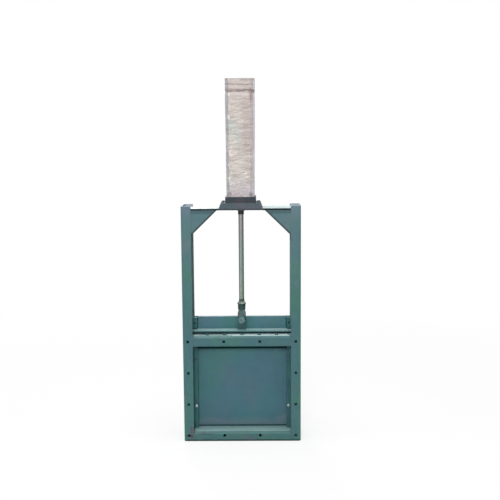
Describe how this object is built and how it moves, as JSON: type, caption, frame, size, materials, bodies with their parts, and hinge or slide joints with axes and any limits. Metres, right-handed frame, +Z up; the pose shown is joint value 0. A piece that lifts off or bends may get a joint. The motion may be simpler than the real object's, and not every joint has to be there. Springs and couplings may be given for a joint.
{
  "type": "sluice gate",
  "caption": "Small square-passage sluice gate: welded channel frame with drilled flanges, sliding gate plate and a film-wrapped pneumatic cylinder.",
  "frame": {"origin": "centre of the rear flange's outer face", "axes": "+Y out of the rear flange along the passage, +Z up along the posts and the gate's travel, +X to the right seen from the front"},
  "size_m": [0.29, 0.0925, 0.8878],
  "materials": {
    "teal_paint": "painted steel, teal grey",
    "dark_steel": "dull mild steel",
    "packing": "dark packing",
    "seat_plastic": "hard white plastic",
    "cap_alloy": "dark anodised alloy",
    "barrel_alloy": "bare alloy tube",
    "black_bush": "black bearing plastic",
    "film": "cloudy protective film",
    "rod_steel": "ground steel rod",
    "zinc_steel": "zinc plated steel"
  },
  "bodies": {
    "frame": {"post_left": "teal_paint", "post_right": "teal_paint", "head_bar": "teal_paint", "sill_bar": "teal_paint", "bottom_plate": "teal_paint", "rear_flange": "teal_paint", "throat": "teal_paint", "rear_head_bar": "teal_paint", "front_packing": "packing", "rear_packing": "packing", "sill_seal": "packing", "seat_head": "seat_plastic", "seat_sill": "seat_plastic", "guide_left": "dark_steel", "guide_right": "dark_steel", "rear_guide_left": "seat_plastic", "rear_guide_right": "seat_plastic", "top_plate": "teal_paint", "gusset_front_left": "teal_paint", "gusset_front_right": "teal_paint", "gusset_rear_left": "teal_paint", "gusset_rear_right": "teal_paint", "cylinder_foot": "cap_alloy", "front_cap": "cap_alloy", "rod_bush": "black_bush", "barrel": "barrel_alloy", "tie_rods": "zinc_steel", "rear_cap": "cap_alloy", "film_wrap": "film"},
    "gate": {"gate_plate": "teal_paint", "carrier_angle": "teal_paint", "gate_shoe_left": "dark_steel", "gate_shoe_right": "dark_steel", "lug": "teal_paint", "clevis": "dark_steel", "clevis_pin": "zinc_steel", "coupling": "dark_steel", "piston_rod": "rod_steel", "piston": "barrel_alloy"}
  },
  "joints": [
    {"name": "gate_slide", "type": "slide", "parent": "frame", "child": "gate", "axis": [0, 0, 1], "range_m": [0, 0.2]}
  ]
}
